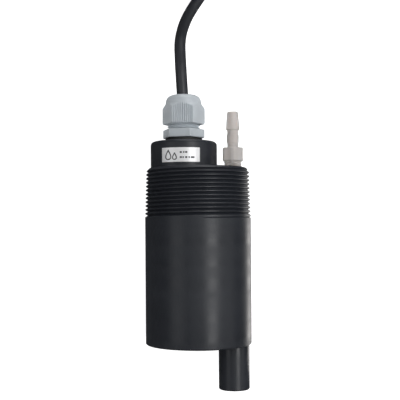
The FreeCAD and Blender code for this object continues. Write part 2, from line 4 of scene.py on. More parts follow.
import bmesh
import bpy
import numpy as np
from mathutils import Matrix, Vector


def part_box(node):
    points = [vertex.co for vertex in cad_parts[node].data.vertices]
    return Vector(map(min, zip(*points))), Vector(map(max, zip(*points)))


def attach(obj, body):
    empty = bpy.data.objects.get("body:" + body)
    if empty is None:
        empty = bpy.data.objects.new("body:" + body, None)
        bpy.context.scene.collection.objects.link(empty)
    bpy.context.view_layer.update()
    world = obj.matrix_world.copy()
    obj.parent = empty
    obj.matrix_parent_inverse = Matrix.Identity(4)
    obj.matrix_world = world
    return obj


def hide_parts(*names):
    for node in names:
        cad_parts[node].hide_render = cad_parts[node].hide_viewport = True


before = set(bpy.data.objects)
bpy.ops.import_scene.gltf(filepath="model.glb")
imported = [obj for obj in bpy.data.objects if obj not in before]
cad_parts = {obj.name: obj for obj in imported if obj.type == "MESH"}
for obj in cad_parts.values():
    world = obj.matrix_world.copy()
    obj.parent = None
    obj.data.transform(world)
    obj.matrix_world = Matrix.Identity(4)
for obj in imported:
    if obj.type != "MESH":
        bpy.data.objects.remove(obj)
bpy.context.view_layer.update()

MM = 0.001

# Places taken from the frame
BODY_LOW, BODY_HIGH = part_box("housing")
CAP_LOW, CAP_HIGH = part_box("cap")
BARB_LOW, BARB_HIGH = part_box("hose_barb")
HANK_LOW, HANK_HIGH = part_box("cable_hank")
AXIS_Z = (BODY_LOW.z + BODY_HIGH.z) / 2
BODY_RADIUS = (BODY_HIGH.x - BODY_LOW.x) / 2
FACE_Y = BODY_LOW.y
CAP_X = (CAP_LOW.x + CAP_HIGH.x) / 2
CAP_RADIUS = (CAP_HIGH.x - CAP_LOW.x) / 2
JET_X = (BARB_LOW.x + BARB_HIGH.x) / 2

# Cable: its length, and the hank's winding
CABLE_RADIUS = 3.3 * MM
CABLE_PITCH = 6.65 * MM
HANK_COLUMNS = 3
HANK_FULL_ROWS = 4
HANK_TOP_TURNS = 1
FOLD_SLACK = 0.55 * MM    # the spline cuts inside its control points on the round ends
HANK_INNER_TURN = 20.0 * MM
HANK_RUN = 99.5 * MM
HANK_X = (HANK_LOW.x + HANK_HIGH.x) / 2
HANK_NEAR_Y = HANK_LOW.y + HANK_INNER_TURN + (HANK_COLUMNS - 1) * CABLE_PITCH + CABLE_RADIUS
HANK_MID_Y = HANK_NEAR_Y + HANK_RUN / 2
HANK_SIDE = HANK_INNER_TURN + (HANK_COLUMNS - 1) * CABLE_PITCH / 2

# The cable's route from inside the gland to the hank's first turn
CABLE_ROUTE = [
    (-0.0076, 0.0715, 0.03016),
    (-0.0094, 0.0990, 0.0309),
    (-0.0103, 0.1245, 0.0175),
    (0.0032, 0.1500, 0.0047),
    (0.0219, 0.1708, 0.00335),
]

# Camera: straight above the probe, at the photograph's distance
CAMERA_DISTANCE = 0.470
CAMERA_X = 0.00110
CAMERA_Y = 0.00696
VIEW_WIDTH = 0.2287
SENSOR_WIDTH = 36.0
SHIFT_Y = 0.075
LEAN = math.radians(0.37)

# Light panels that lie along the probe
PANEL_LENGTH = 0.9
PANEL_DISTANCE = 0.75
PANEL_Y = 0.12


# ---- materials ----------------------------------------------------------------------------------

class Paint:
    """A Principled material whose uneven values come from noise in the object's own coordinates."""

    def __init__(self, name, color, roughness, **settings):
        self.material = bpy.data.materials.new(name)
        self.material.use_nodes = True
        self.tree = self.material.node_tree
        self.shader = self.tree.nodes["Principled BSDF"]
        self.color = color
        self.roughness = roughness
        self.shader.inputs["Base Color"].default_value = (*color, 1.0)
        self.shader.inputs["Roughness"].default_value = roughness
        for socket, value in settings.items():
            self.shader.inputs[socket.replace("_", " ")].default_value = value
        self.places = self.node("ShaderNodeTexCoord").outputs["Object"]
        self.height = None

    def node(self, kind, **values):
        node = self.tree.nodes.new(kind)
        for key, value in values.items():
            if isinstance(key, str) and hasattr(node, key):
                setattr(node, key, value)
            else:
                node.inputs[key.replace("_", " ")].default_value = value
        return node

    def link(self, source, target):
        self.tree.links.new(source, target)

    def stretched(self, scale):
        """Coordinates multiplied per axis."""
        mapping = self.node("ShaderNodeMapping")
        self.link(self.places, mapping.inputs["Vector"])
        mapping.inputs["Scale"].default_value = scale
        return mapping.outputs["Vector"]

    def noise(self, scale, detail=3.0, stretch=(1, 1, 1)):
        texture = self.node("ShaderNodeTexNoise", Scale=scale, Detail=detail)
        self.link(self.stretched(stretch), texture.inputs["Vector"])
        return texture.outputs["Fac"]

    def ramp(self, source, low, high, from_low=0.35, from_high=0.65):
        """The source's middle range carried to low..high."""
        span = self.node("ShaderNodeMapRange")
        self.link(source, span.inputs["Value"])
        for socket, value in (("From Min", from_low), ("From Max", from_high), ("To Min", low),
                              ("To Max", high)):
            span.inputs[socket].default_value = value
        return span.outputs["Result"]

    def vary_color(self, source, other, share=1.0):
        """Blend the base colour towards another one where the source is high."""
        blend = self.node("ShaderNodeMix", data_type="RGBA")
        self.link(self.ramp(source, 0.0, share), blend.inputs["Factor"])
        socket = self.shader.inputs["Base Color"]
        if socket.is_linked:
            self.link(socket.links[0].from_socket, blend.inputs["A"])
        else:
            blend.inputs["A"].default_value = (*self.color, 1.0)
        blend.inputs["B"].default_value = (*other, 1.0)
        self.link(blend.outputs["Result"], socket)
        return self

    def vary_roughness(self, source, low, high):
        self.link(self.ramp(source, low, high), self.shader.inputs["Roughness"])
        return self

    def bump(self, source, depth_mm, strength=1.0):
        """Relief of the given depth, on top of any relief added before."""
        bump = self.node("ShaderNodeBump", Strength=strength, Distance=depth_mm * MM)
        self.link(source, bump.inputs["Height"])
        if self.height is not None:
            self.link(self.height, bump.inputs["Normal"])
        self.height = bump.outputs["Normal"]
        self.link(self.height, self.shader.inputs["Normal"])
        return self


def turned_plastic(name, color, roughness):
    """Black plastic off the lathe: fine feed lines round the Y axis, broad faint bands, dust specks."""
    paint = Paint(name, color, roughness, Specular_IOR_Level=0.43)
    feed = paint.noise(260.0, 2.0, (0.02, 12.0, 0.02))
    bands = paint.noise(60.0, 2.0, (0.05, 2.0, 0.05))
    blotches = paint.noise(45.0, 4.0)
    paint.vary_color(bands, [value * 1.35 for value in color], 0.5)
    paint.vary_color(blotches, [value * 0.8 for value in color], 0.5)
    paint.vary_roughness(bands, roughness - 0.07, roughness + 0.08)
    paint.bump(feed, 0.018)
    paint.bump(paint.noise(900.0, 2.0), 0.003)
    return paint.material


def moulded_plastic(name, color, roughness, grain=0.004, **settings):
    """Injection-moulded plastic: faint cloudiness, a fine even texture and soft waviness."""
    paint = Paint(name, color, roughness, **settings)
    clouds = paint.noise(120.0, 3.0)
    paint.vary_color(clouds, [value * 0.88 for value in color], 0.8)
    paint.vary_roughness(paint.noise(300.0, 3.0), roughness - 0.05, roughness + 0.05)
    paint.bump(paint.noise(180.0, 2.0), grain * 4)
    paint.bump(paint.noise(2500.0, 3.0), grain)
    return paint.material


def label_film():
    """Silver polyester film with a satin surface and a little unevenness from its adhesive."""
    paint = Paint("silver_label", (0.96, 0.96, 0.97), 0.4, Metallic=0.25, Coat_Weight=0.25,
                  Coat_Roughness=0.2)
    paint.vary_roughness(paint.noise(90.0, 2.0), 0.33, 0.4)
    paint.bump(paint.noise(160.0, 2.0), 0.006)
    return paint.material


def solder_mask():
    """Green board surface: slightly cloudy mask over faint copper relief."""
    paint = Paint("circuit_board", (0.012, 0.11, 0.045), 0.3, Coat_Weight=0.3, Coat_Roughness=0.15)
    tracks = paint.node("ShaderNodeTexBrick", Scale=260.0)
    paint.link(paint.places, tracks.inputs["Vector"])
    paint.vary_color(tracks.outputs["Fac"], (0.02, 0.17, 0.07), 0.6)
    paint.vary_color(paint.noise(150.0), (0.01, 0.08, 0.035), 0.5)
    paint.bump(tracks.outputs["Fac"], 0.03)
    return paint.material


def metal(name, color, roughness, stretch, depth=0.004):
    """Bare metal with fine lines along the stretched direction."""
    paint = Paint(name, color, roughness, Metallic=1.0)
    lines = paint.noise(900.0, 2.0, stretch)
    paint.vary_color(paint.noise(140.0), [value * 0.85 for value in color], 0.7)
    paint.vary_roughness(lines, roughness - 0.06, roughness + 0.08)
    paint.bump(lines, depth)
    return paint.material


BLACK_PVC = turned_plastic("black_pvc", (0.0225, 0.0256, 0.0325), 0.36)
BLACK_ACETAL = turned_plastic("black_acetal", (0.024, 0.0245, 0.026), 0.3)
GREY_NYLON = moulded_plastic("grey_nylon", (0.59, 0.64, 0.68), 0.48, Coat_Weight=0.5,
                             Coat_Roughness=0.2)
NATURAL = moulded_plastic("natural_plastic", (0.77, 0.74, 0.72), 0.42, Subsurface_Weight=0.8,
                          Subsurface_Radius=(1.0, 0.9, 0.8), Subsurface_Scale=0.0025,
                          Transmission_Weight=0.5)
RUBBER = moulded_plastic("black_rubber", (0.014, 0.014, 0.015), 0.55, 0.006)
JACKET = moulded_plastic("cable_jacket", (0.032, 0.034, 0.040), 0.4, 0.006)
LABEL = label_film()
LABEL_INK = moulded_plastic("label_ink", (0.03, 0.032, 0.034), 0.5, 0.001)
TIE = moulded_plastic("tie_plastic", (0.018, 0.018, 0.019), 0.4, 0.004)
STAINLESS = metal("stainless", (0.6, 0.6, 0.61), 0.3, (0.05, 6.0, 0.05))
TINNED = metal("tinned_copper", (0.75, 0.74, 0.72), 0.28, (1.0, 0.3, 1.0))
ALUMINIUM = metal("capacitor_can", (0.7, 0.7, 0.71), 0.32, (1.0, 1.0, 6.0))
SAPPHIRE = moulded_plastic("sapphire", (0.9, 0.93, 0.96), 0.06, 0.0003, Transmission_Weight=0.9,
                           IOR=1.77)
CLEAR_EPOXY = moulded_plastic("clear_epoxy", (0.55, 0.62, 0.7), 0.12, 0.001,
                              Transmission_Weight=0.5)
DARK_EPOXY = moulded_plastic("dark_epoxy", (0.03, 0.02, 0.03), 0.15, 0.001)
CHIP = moulded_plastic("chip_package", (0.03, 0.03, 0.03), 0.5, 0.008)
GREEN = moulded_plastic("green_plastic", (0.04, 0.26, 0.09), 0.4)
BOARD = solder_mask()
WIRE_COLORS = {
    "brown": (0.13, 0.045, 0.018), "white": (0.75, 0.74, 0.7), "green": (0.03, 0.22, 0.06),
    "blue": (0.02, 0.06, 0.32),
}
WIRES = {name: moulded_plastic("wire_" + name, color, 0.38, 0.002)
         for name, color in WIRE_COLORS.items()}

finishes = {
    "cap": BLACK_PVC, "spray_nozzle": BLACK_PVC, "optics_block": BLACK_ACETAL,
    "retaining_ring": BLACK_ACETAL, "board_rails": BLACK_ACETAL, "clamping_claw": GREY_NYLON,
    "gland_seal": RUBBER, "cap_o_ring": RUBBER, "nozzle_o_ring": RUBBER, "head_o_ring": RUBBER,
    "window_seals": RUBBER, "label": LABEL, "emitter_window": SAPPHIRE,
    "detector_window": SAPPHIRE, "ir_emitter": CLEAR_EPOXY, "photodiode": DARK_EPOXY,
    "temperature_probe": STAINLESS, "terminal_screws": STAINLESS, "main_board": BOARD,
    "board_chips": CHIP, "board_capacitors": ALUMINIUM, "terminal_block": GREEN,
    "conductors": WIRES["brown"], "sensor_wires": WIRES["white"], "ferrules": TINNED,
}
for node_name, finish in finishes.items():
    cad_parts[node_name].material_slots[0].material = finish


# ---- mesh building ------------------------------------------------------------------------------

def soft_min(a, b, width):
    """The lower of two values, with a rounded change from one to the other."""
    return 0.5 * (a + b - np.sqrt((a - b) ** 2 + width ** 2))


def soft_max(a, b, width):
    """The higher of two values, with a rounded change from one to the other."""
    return 0.5 * (a + b + np.sqrt((a - b) ** 2 + width ** 2))


class Skin:
    """Closed skin round an axis along Y, made of rings of points from one end to the other and back.

    Radii and stations are in mm; a station is a distance along Y from the flat sensing face, and
    an angle of 0 is straight up, growing towards +X.
    """

    def __init__(self, name, axis_x, columns):
        self.name = name
        self.axis_x = axis_x
        self.columns = columns
        self.angles = np.arange(columns) * 2 * math.pi / columns
        self.points = []
        self.faces = []
        self.last = None
        self.first = None

    def add_points(self, radius, station):
        radius = np.broadcast_to(radius, self.angles.shape) * MM
        station = np.broadcast_to(station, self.angles.shape) * MM + FACE_Y
        start = len(self.points)
        x = self.axis_x + radius * np.sin(self.angles)
        z = AXIS_Z + radius * np.cos(self.angles)
        self.points += list(zip(x, station, z))
        return list(range(start, start + self.columns))

    def bridge(self, low, high):
        following = np.roll(np.arange(self.columns), -1)
        self.faces += [(low[i], low[j], high[j], high[i]) for i, j in enumerate(following)]

    def ring(self, radius, station):
        """Add one ring, joined to the one before it."""
        row = self.add_points(radius, station)
        if self.last is None:
            self.first = row
        else:
            self.bridge(self.last, row)
        self.last = row

    def rings(self, outline):
        for radius, station in outline:
            self.ring(radius, station)

    def round_edge(self, radius, station, edge, from_angle, to_angle, steps=4):
        """Rings over a rounded edge; angles are of the outward direction, 0 along +Y, 90 outward."""
        for step in range(steps + 1):
            turn = math.radians(from_angle + (to_angle - from_angle) * step / steps)
            self.ring(radius + edge * math.sin(turn), station + edge * math.cos(turn))

    def helix(self, radius_at, start, end, pitch, shares):
        """Rows that climb one pitch per turn, after a plain ring; shares divide each turn."""
        per_turn = len(shares)
        turns = int((end - start) / pitch) + 2
        count = per_turn * turns + 1
        rows = []
        for row in range(count):
            climb = row // per_turn + shares[row % per_turn] + self.angles / (2 * math.pi)
            station = np.clip(start + (climb - 1) * pitch, start, end)
            rows.append(self.add_points(radius_at(self.angles, station), station))
        for row in range(count - 1):
            low, high = rows[row], rows[row + 1]
            for column in range(self.columns - 1):
                self.faces.append((low[column], low[column + 1], high[column + 1], high[column]))
            low_next = rows[min(row + per_turn, count - 1)][0]
            high_next = rows[min(row + 1 + per_turn, count - 1)][0]
            self.faces.append((low[-1], low_next, high_next, high[-1]))
        self.bridge(self.last, rows[0])
        self.last = rows[-1]

    def close(self):
        self.bridge(self.last, self.first)
        return self

    def mesh(self):
        mesh = bmesh.new()
        corners = [mesh.verts.new(point) for point in self.points]
        for face in self.faces:
            if len(set(face)) == len(face):
                mesh.faces.new([corners[index] for index in face])
        return mesh


def finish_mesh(name, mesh, material, body, replaced=(), sharp=32, merge=0.0005):
    """Turn a bmesh into a smooth-shaded piece that rides on a body."""
    bmesh.ops.remove_doubles(mesh, verts=mesh.verts, dist=merge * MM)
    bmesh.ops.dissolve_degenerate(mesh, edges=mesh.edges, dist=merge * MM)
    bmesh.ops.recalc_face_normals(mesh, faces=mesh.faces)
    data = bpy.data.meshes.new(name)
    mesh.to_mesh(data)
    mesh.free()
    data.shade_smooth()
    data.set_sharp_from_angle(angle=math.radians(sharp))
    data.materials.append(material)
    piece = bpy.data.objects.new(name, data)
    bpy.context.scene.collection.objects.link(piece)
    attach(piece, body)
    if replaced:
        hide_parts(*replaced)
    return piece


def hexagon_radius(angles, flats, turn, rounding):
    """Distance to the side of a hexagon with rounded corners; turn 0 has a flat facing up."""
    sector = math.pi / 3
    offset = (angles - math.radians(turn) + sector / 2) % sector - sector / 2
    side = flats / 2 / np.cos(offset)
    corner = flats / math.sqrt(3) - rounding
    return soft_min(side, corner, 0.1)


def groove_depth(distance, half_width, depth, softness):
    """Depth of a 60 degree groove at a distance from its middle, with a rounded root and edges."""
    sloped = (half_width - np.abs(distance)) / math.tan(math.radians(30))
    return soft_min(soft_max(sloped, 0.0, softness), depth, softness)


# ---- housing with its taper pipe thread -----------------------------------------------------------

BODY_LENGTH = 100.0
THREAD_START = 72.0
THREAD_PITCH = 25.4 / 11.5
THREAD_DEPTH = 1.42
THREAD_HALF_WIDTH = 0.86
THREAD_TAPER = 1 / 32
THREAD_SHARES = (0.0, 0.03, 0.07, 0.13, 0.2, 0.27, 0.34, 0.38, 0.41, 0.44, 0.47, 0.5, 0.53, 0.56,
                 0.59, 0.62, 0.66, 0.73, 0.8, 0.87, 0.93, 0.97)
RUN_OUT_TURNS = 0.9
TOP_CHAMFER = 1.7
TOP_DROP = 0.85 + TOP_CHAMFER
FIRST_GROOVE = THREAD_START + 0.05
BORE_RADIUS = 13.0
BORE_WIDE_RADIUS = 16.0
BORE_WIDE_START = 14.0
JET_RADIUS = 2.5
JET_HEAD_RADIUS = 6.0
JET_HEAD_DEPTH = 11.5
PORT_START = 91.0


def thread_radius(angles, station):
    """Radius of the taper thread; its first groove starts on top and widens along its run-out."""
    cone = BODY_RADIUS / MM - np.clip(station - THREAD_START, 0.0, None) * THREAD_TAPER
    turns = (station - FIRST_GROOVE) / THREAD_PITCH - (angles / (2 * math.pi) - 0.25)
    nearest = np.round(turns)
    distance = (turns - nearest) * THREAD_PITCH
    travelled = nearest + angles / (2 * math.pi)
    cut = np.clip(0.3 + travelled / RUN_OUT_TURNS, 0.0, 1.0) * (travelled > 0)
    depth = groove_depth(distance, THREAD_HALF_WIDTH * cut, THREAD_DEPTH, 0.06)
    depth = depth * np.clip(travelled / 0.05, 0.0, 1.0)
    chamfer = BODY_RADIUS / MM - TOP_DROP + (BODY_LENGTH - station)
    return soft_min(cone - depth, chamfer, 0.12)


def turned_wall(mesh, axis_x, outline, columns=96):
    """Open turned surface inside a hole; returns its first and its last ring of points."""
    angles = [index * 2 * math.pi / columns for index in range(columns)]
    rows = []
    for radius, station in outline:
        rows.append([mesh.verts.new((axis_x + radius * MM * math.sin(angle),
                                     FACE_Y + station * MM,
                                     AXIS_Z + radius * MM * math.cos(angle))) for angle in angles])
    for low, high in zip(rows, rows[1:]):
        for index in range(columns):
            following = (index + 1) % columns
            mesh.faces.new((low[index], low[following], high[following], high[index]))
    return rows[0], rows[-1]


def ring_edges(mesh, ring):
    """The edges round a ring of points, made where they are missing."""
    edges = []
    for index, vert in enumerate(ring):
        other = ring[(index + 1) % len(ring)]
        edges.append(mesh.edges.get((vert, other)) or mesh.edges.new((vert, other)))
    return edges


def housing():
    body = BODY_RADIUS / MM
    skin = Skin("housing_body", 0.0, 288)
    skin.rings([(body - 0.75, 0.0), (body - 0.62, 0.03), (body - 0.2, 0.3), (body - 0.04, 0.56),
                (body, 0.8), (body, 24.0), (body, 48.0), (body, THREAD_START - 1.2)])
    skin.helix(thread_radius, THREAD_START - 1.15, BODY_LENGTH - 0.06, THREAD_PITCH, THREAD_SHARES)
    top = body - TOP_DROP
    skin.rings([(top - 0.02, BODY_LENGTH - 0.03), (top - 0.15, BODY_LENGTH)])
    mesh = skin.mesh()
    mesh.verts.ensure_lookup_table()
    outer_low = [mesh.verts[index] for index in skin.first]
    outer_high = [mesh.verts[index] for index in skin.last]
    bore_low, bore_high = turned_wall(mesh, CAP_X, [
        (BORE_RADIUS, 0), (BORE_RADIUS, BORE_WIDE_START), (BORE_WIDE_RADIUS, BORE_WIDE_START),
        (BORE_WIDE_RADIUS, BODY_LENGTH)])
    port_low, port_high = turned_wall(mesh, JET_X, [
        (JET_HEAD_RADIUS, 0), (JET_HEAD_RADIUS, JET_HEAD_DEPTH), (JET_RADIUS, JET_HEAD_DEPTH),
        (JET_RADIUS, PORT_START - 1), (4.76, PORT_START), (5.07, BODY_LENGTH)])
    for rings in ((outer_low, bore_low, port_low), (outer_high, bore_high, port_high)):
        edges = [edge for ring in rings for edge in ring_edges(mesh, ring)]
        bmesh.ops.triangle_fill(mesh, edges=edges, use_beauty=True, use_dissolve=False)
    return finish_mesh("housing_body", mesh, BLACK_PVC, "root", ["housing"], 34)


# ---- cable gland ----------------------------------------------------------------------------------

CAP_TOP = 115.0
HEX_START = 117.3
HEX_END = 122.0
NUT_START = 125.1
NUT_END = 141.75
GLAND_FLATS = 21.2
GLAND_HEX_TURN = -12.0
GLAND_BORE = 5.2
SLEEVE_BORE = 7.6
SLEEVE_LENGTH = 10.0
SLEEVE_FLOOR = 4.4
TAIL_LENGTH = 10.0
EDGE_ROUND = 0.25
NUT_FLATS = 20.7
NUT_TURN = -3.0
NUT_HEX_LENGTH = 11.4
NUT_STATIONS = (0.0, 0.03, 0.08, 0.15, 0.25, 0.4, 0.6, 0.8, 1.4, 3.0, 5.0, 7.0, 8.0, 8.6, 9.0, 9.3,
                9.6, 9.9, 10.2, 10.5, 10.8, 11.1, 11.4, 11.7)
CROWN_RADIUS = 10.13
CROWN_ROUND = 4.2
CROWN_STEPS = 12
NUT_RIB_SPACING = 1.03
NUT_RIB_HEIGHT = 0.55
NUT_RIB_SUNK = 0.2
NUT_RIBS = 12
GLAND_PITCH = 25.4 / 18
GLAND_RADIUS = 9.3


def edge_drop(from_edge):
    """How far a hexagon's rounded edge draws in, at a distance from its end face."""
    inside = EDGE_ROUND - min(from_edge, EDGE_ROUND)
    return EDGE_ROUND - math.sqrt(EDGE_ROUND ** 2 - inside ** 2)


def gasket():
    skin = Skin("gasket_ring", CAP_X, 96)
    skin.round_edge(10.2, CAP_TOP + 0.35, 0.3, 180, 90)
    skin.round_edge(10.2, HEX_START - 0.35, 0.3, 90, 0)
    skin.rings([(9.4, HEX_START), (9.4, CAP_TOP + 0.02)])
    return finish_mesh("gasket_ring", skin.close().mesh(), RUBBER, "root", ["gland_gasket"])


def gland_thread_radius(angles, station):
    """The collar's 60 degree thread, with a chamfered end and a relief next to the hexagon."""
    turns = (station - HEX_END - 0.3) / GLAND_PITCH - (angles / (2 * math.pi) - 0.25)
    distance = (turns - np.round(turns)) * GLAND_PITCH
    depth = groove_depth(distance, 0.64, 1.2, 0.05)
    end_chamfer = GLAND_RADIUS - 0.8 + (HEX_END + SLEEVE_LENGTH - station)
    relief = GLAND_RADIUS - 0.75 + soft_max(station - HEX_END - 0.3, 0.0, 0.05) * 1.7
    return soft_min(soft_min(GLAND_RADIUS - depth, end_chamfer, 0.1), relief, 0.1)


def gland_body():
    skin = Skin("gland_barrel", CAP_X, 360)
    tail = HEX_START - TAIL_LENGTH
    skin.rings([(GLAND_RADIUS - 0.5, tail), (GLAND_RADIUS, tail + 0.5), (GLAND_RADIUS, HEX_START)])
    wide = hexagon_radius(skin.angles, GLAND_FLATS, GLAND_HEX_TURN, 0.08)
    hex_height = HEX_END - HEX_START
    for station in (0.0, 0.03, 0.08, 0.15, 0.25, 2.4, 4.45, 4.55, 4.62, 4.67, 4.7):
        skin.ring(wide - edge_drop(min(station, hex_height - station)), HEX_START + station)
    skin.ring(8.6, HEX_END + 0.02)
    skin.helix(gland_thread_radius, HEX_END + 0.05, HEX_END + SLEEVE_LENGTH - 0.02, GLAND_PITCH,
               (0.0, 0.1, 0.2, 0.3, 0.36, 0.43, 0.5, 0.57, 0.64, 0.7, 0.8, 0.9))
    skin.rings([(8.4, HEX_END + SLEEVE_LENGTH), (SLEEVE_BORE, HEX_END + SLEEVE_LENGTH),
                (SLEEVE_BORE, HEX_END + SLEEVE_FLOOR), (GLAND_BORE, HEX_END + SLEEVE_FLOOR),
                (GLAND_BORE, tail)])
    return finish_mesh("gland_barrel", skin.close().mesh(), GREY_NYLON, "root", ["gland_body"],
                       30)


def nut_ribs(angles, station):
    """Height of the upright ribs that cover every other flat of the nut."""
    turn = (angles - math.radians(NUT_TURN) + math.pi / 3) % (2 * math.pi / 3) - math.pi / 3
    across = NUT_FLATS / 2 * np.tan(np.clip(turn, -0.8, 0.8))
    place = across / NUT_RIB_SPACING + (NUT_RIBS % 2 == 0) * 0.5
    offset = (place - np.round(place)) * NUT_RIB_SPACING
    rib = NUT_RIB_HEIGHT * (1 - (2 * offset / NUT_RIB_SPACING) ** 2)
    covered = np.abs(across) < NUT_RIBS / 2 * NUT_RIB_SPACING
    ends = min(max((station - NUT_START - 0.25) / 0.35, 0.0), 1.0)
    return np.where(covered, rib - NUT_RIB_SUNK, 0.0) * ends


def dome_nut():
    skin = Skin("nut_shell", CAP_X, 720)
    wide = hexagon_radius(skin.angles, NUT_FLATS, NUT_TURN, 0.1)
    hex_top = NUT_START + NUT_HEX_LENGTH
    for station in NUT_STATIONS:
        height = NUT_START + station
        shoulder = CROWN_RADIUS + 0.07 + soft_max((hex_top - height) * 0.85, 0.0, 0.3)
        ribbed = wide - edge_drop(station) + nut_ribs(skin.angles, height)
        least = CROWN_RADIUS - 0.05 if station > 8 else 0.0
        skin.ring(soft_max(soft_min(ribbed, shoulder, 0.12), least, 0.1), height)
    for step in range(1, CROWN_STEPS + 1):
        turn = math.radians(90 * step / CROWN_STEPS)
        skin.ring(CROWN_RADIUS - CROWN_ROUND * (1 - math.cos(turn)),
                  NUT_END - CROWN_ROUND * (1 - math.sin(turn)))
    skin.round_edge(5.6, NUT_END - 0.3, 0.3, 0, -90)
    skin.rings([(5.3, NUT_END - 2.9), (6.4, NUT_END - 2.9), (8.2, NUT_START + 9.4),
                (9.4, NUT_START + 8.6), (9.4, NUT_START + 1.6), (10.4, NUT_START)])
    return finish_mesh("nut_shell", skin.close().mesh(), GREY_NYLON, "nut", ["dome_nut"],
                       38)


# ---- hose barb ------------------------------------------------------------------------------------

BARB_HEX_START = 104.1
BARB_HEX_HEIGHT = 7.6
BARB_HEX_FLATS = 11.5
BARB_HEX_TURN = 26.0
BARB_HEX_ROUND = 0.6
BARB_PITCH = 25.4 / 27
BARB_RADIUS = 5.14
BARB_FOOT = 91.0
BARB_BORE = 2.0


def barb_thread_radius(angles, station):
    """The 1/8 inch taper thread under the hexagon; it grows towards the hexagon."""
    cone = BARB_RADIUS - (BARB_HEX_START - station) * THREAD_TAPER
    turns = (station - BARB_HEX_START) / BARB_PITCH - angles / (2 * math.pi)
    distance = (turns - np.round(turns)) * BARB_PITCH
    tip = BARB_RADIUS - 1.1 + (station - BARB_FOOT)
    return soft_min(cone - groove_depth(distance, 0.42, 0.62, 0.04), tip, 0.1)


def hose_barb():
    skin = Skin("barb_fitting", JET_X, 180)
    skin.ring(4.0, BARB_FOOT)
    skin.helix(barb_thread_radius, BARB_FOOT + 0.05, BARB_HEX_START - 0.05, BARB_PITCH,
               (0.0, 0.14, 0.28, 0.39, 0.5, 0.61, 0.72, 0.86))
    wide = hexagon_radius(skin.angles, BARB_HEX_FLATS, BARB_HEX_TURN, 0.42)
    for station in (0.0, 0.08, 0.2, 0.38, 0.6, 1.2, 3.8, 6.4, 6.75, 7.0, 7.2, 7.36, 7.48, 7.56, 7.6):
        low = BARB_HEX_ROUND - min(station, BARB_HEX_ROUND)
        high = BARB_HEX_HEIGHT - station
        edge = wide - (BARB_HEX_ROUND - math.sqrt(max(0.0, BARB_HEX_ROUND ** 2 - low ** 2))) * 0.5
        crown = 5.25 + math.sqrt(max(0.0, 1.0 - max(0.0, 1.0 - high) ** 2)) * 1.3
        skin.ring(soft_min(edge, crown, 0.15), BARB_HEX_START + station)
    top = BARB_HEX_START + BARB_HEX_HEIGHT
    skin.rings([(3.5, top + 0.02), (3.25, top + 0.12), (3.13, top + 0.35), (3.1, top + 0.6),
                (3.1, top + 2.4), (3.16, top + 2.62), (3.36, top + 2.84), (3.42, top + 3.05),
                (3.43, top + 7.1), (3.4, top + 7.3), (3.2, top + 7.52), (3.14, top + 7.75),
                (3.12, top + 9.9), (3.2, top + 10.12), (3.72, top + 10.2), (3.86, top + 10.32),
                (3.9, top + 10.5), (3.88, top + 10.8), (3.24, top + 19.6), (3.18, top + 20.0),
                (3.05, top + 20.3), (2.8, top + 20.46), (2.6, top + 20.5), (2.2, top + 20.5),
                (BARB_BORE + 0.05, top + 20.4), (BARB_BORE, top + 20.2), (BARB_BORE, BARB_FOOT)])
    return finish_mesh("barb_fitting", skin.close().mesh(), NATURAL, "root", ["hose_barb"],
                       32)


# ---- print on the label ---------------------------------------------------------------------------

INK_HEIGHT = 0.02
LABEL_RADIUS = CAP_RADIUS / MM + 0.12
LABEL_BASE = 102.4
DROPS = ((-8.6, 4.6, 5.2, 0.6), (-4.9, 3.2, 3.6, 0.55))    # middle, width, height, line
DROP_FOOT = 1.35
DASH_ROWS = ((5.3, (-1.9, -0.1, 1.1)), (2.5, (-1.9, -0.4, 1.1, 2.9, 4.3, 5.5)))    # up, starts
DASH_LENGTHS = (1.15, 0.75)
DASH_WIDTH = 0.95
DASH_STEPS = 4


def ink_line(mesh, points, width, closed=False):
    """A printed line through points, in mm along the label's curve from its top line and up it."""
    count = len(points)
    low, high = [], []
    for index, (across, up) in enumerate(points):
        before = points[index - 1] if closed or index else points[index]
        after = points[(index + 1) % count] if closed or index < count - 1 else points[index]
        heading = Vector((after[0] - before[0], after[1] - before[1])).normalized() * width / 2
        for side in (-1, 1):
            turn = (across - side * heading.y) / LABEL_RADIUS
            y = FACE_Y + (LABEL_BASE + up + side * heading.x) * MM
            for row, radius in ((low, LABEL_RADIUS), (high, LABEL_RADIUS + INK_HEIGHT)):
                row.append(mesh.verts.new((CAP_X + radius * MM * math.sin(turn), y,
                                           AXIS_Z + radius * MM * math.cos(turn))))
    for index in range(count if closed else count - 1):
        a, b = 2 * index, 2 * ((index + 1) % count)
        mesh.faces.new((high[a], high[a + 1], high[b + 1], high[b]))
        mesh.faces.new((low[a], low[b], low[b + 1], low[a + 1]))
        mesh.faces.new((low[a], high[a], high[b], low[b]))
        mesh.faces.new((low[a + 1], low[b + 1], high[b + 1], high[a + 1]))
    if not closed:
        for a in (0, 2 * count - 2):
            mesh.faces.new((low[a], low[a + 1], high[a + 1], high[a]))


def drop_outline(middle, foot, width, height, steps=28):
    """Points round a water drop: a round foot drawn up to a point."""
    points = []
    for step in range(steps):
        turn = 2 * math.pi * step / steps
        narrowing = math.sin(turn / 2) ** 1.6
        points.append((middle + width / 2 * math.sin(turn) * narrowing,
                       foot + height * (1 + math.cos(turn)) / 2))
    return points


def label_print():
    """A plain drop mark beside rows of dashes, where a real label has its mark and its number."""
    mesh = bmesh.new()
    for middle, width, height, line in DROPS:
        ink_line(mesh, drop_outline(middle, DROP_FOOT, width, height), line, closed=True)
    for up, starts in DASH_ROWS:
        for index, start in enumerate(starts):
            step_length = DASH_LENGTHS[index % 2] / DASH_STEPS
            points = [(start + step_length * step, up) for step in range(DASH_STEPS + 1)]
            ink_line(mesh, points, DASH_WIDTH)
    return finish_mesh("label_print", mesh, LABEL_INK, "root", merge=0.00001)


housing()
gasket()
gland_body()
dome_nut()
hose_barb()
label_print()


